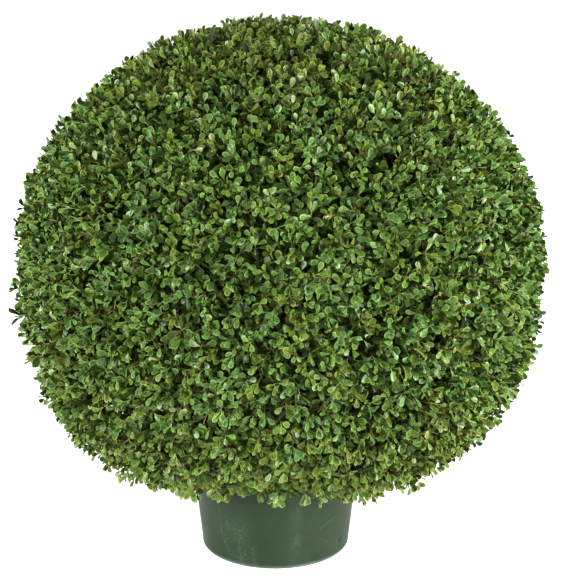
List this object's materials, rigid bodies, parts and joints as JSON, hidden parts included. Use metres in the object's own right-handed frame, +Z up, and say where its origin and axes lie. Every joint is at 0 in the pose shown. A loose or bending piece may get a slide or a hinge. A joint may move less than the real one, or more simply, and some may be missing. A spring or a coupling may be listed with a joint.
{
  "type": "artificial box topiary ball",
  "caption": "Clipped ball of small glossy box leaves on a short hidden stem, standing in a tapered dark green round pot.",
  "frame": {"origin": "centre of the pot's flat underside, on the surface that the pot stands on", "axes": "+Z up along the pot's axis, -Y towards the side that was pictured, +X to that side's right"},
  "size_m": [0.5986, 0.604, 0.6205],
  "materials": {
    "pot_plastic": "satin",
    "potting_fill": "matte",
    "stem_bark": "matte",
    "leaves": "satin",
    "twigs": "satin"
  },
  "bodies": {
    "root": {"pot": "pot_plastic", "pot_fill": "potting_fill", "stem": "stem_bark", "foliage": "leaves"}
  },
  "joints": []
}
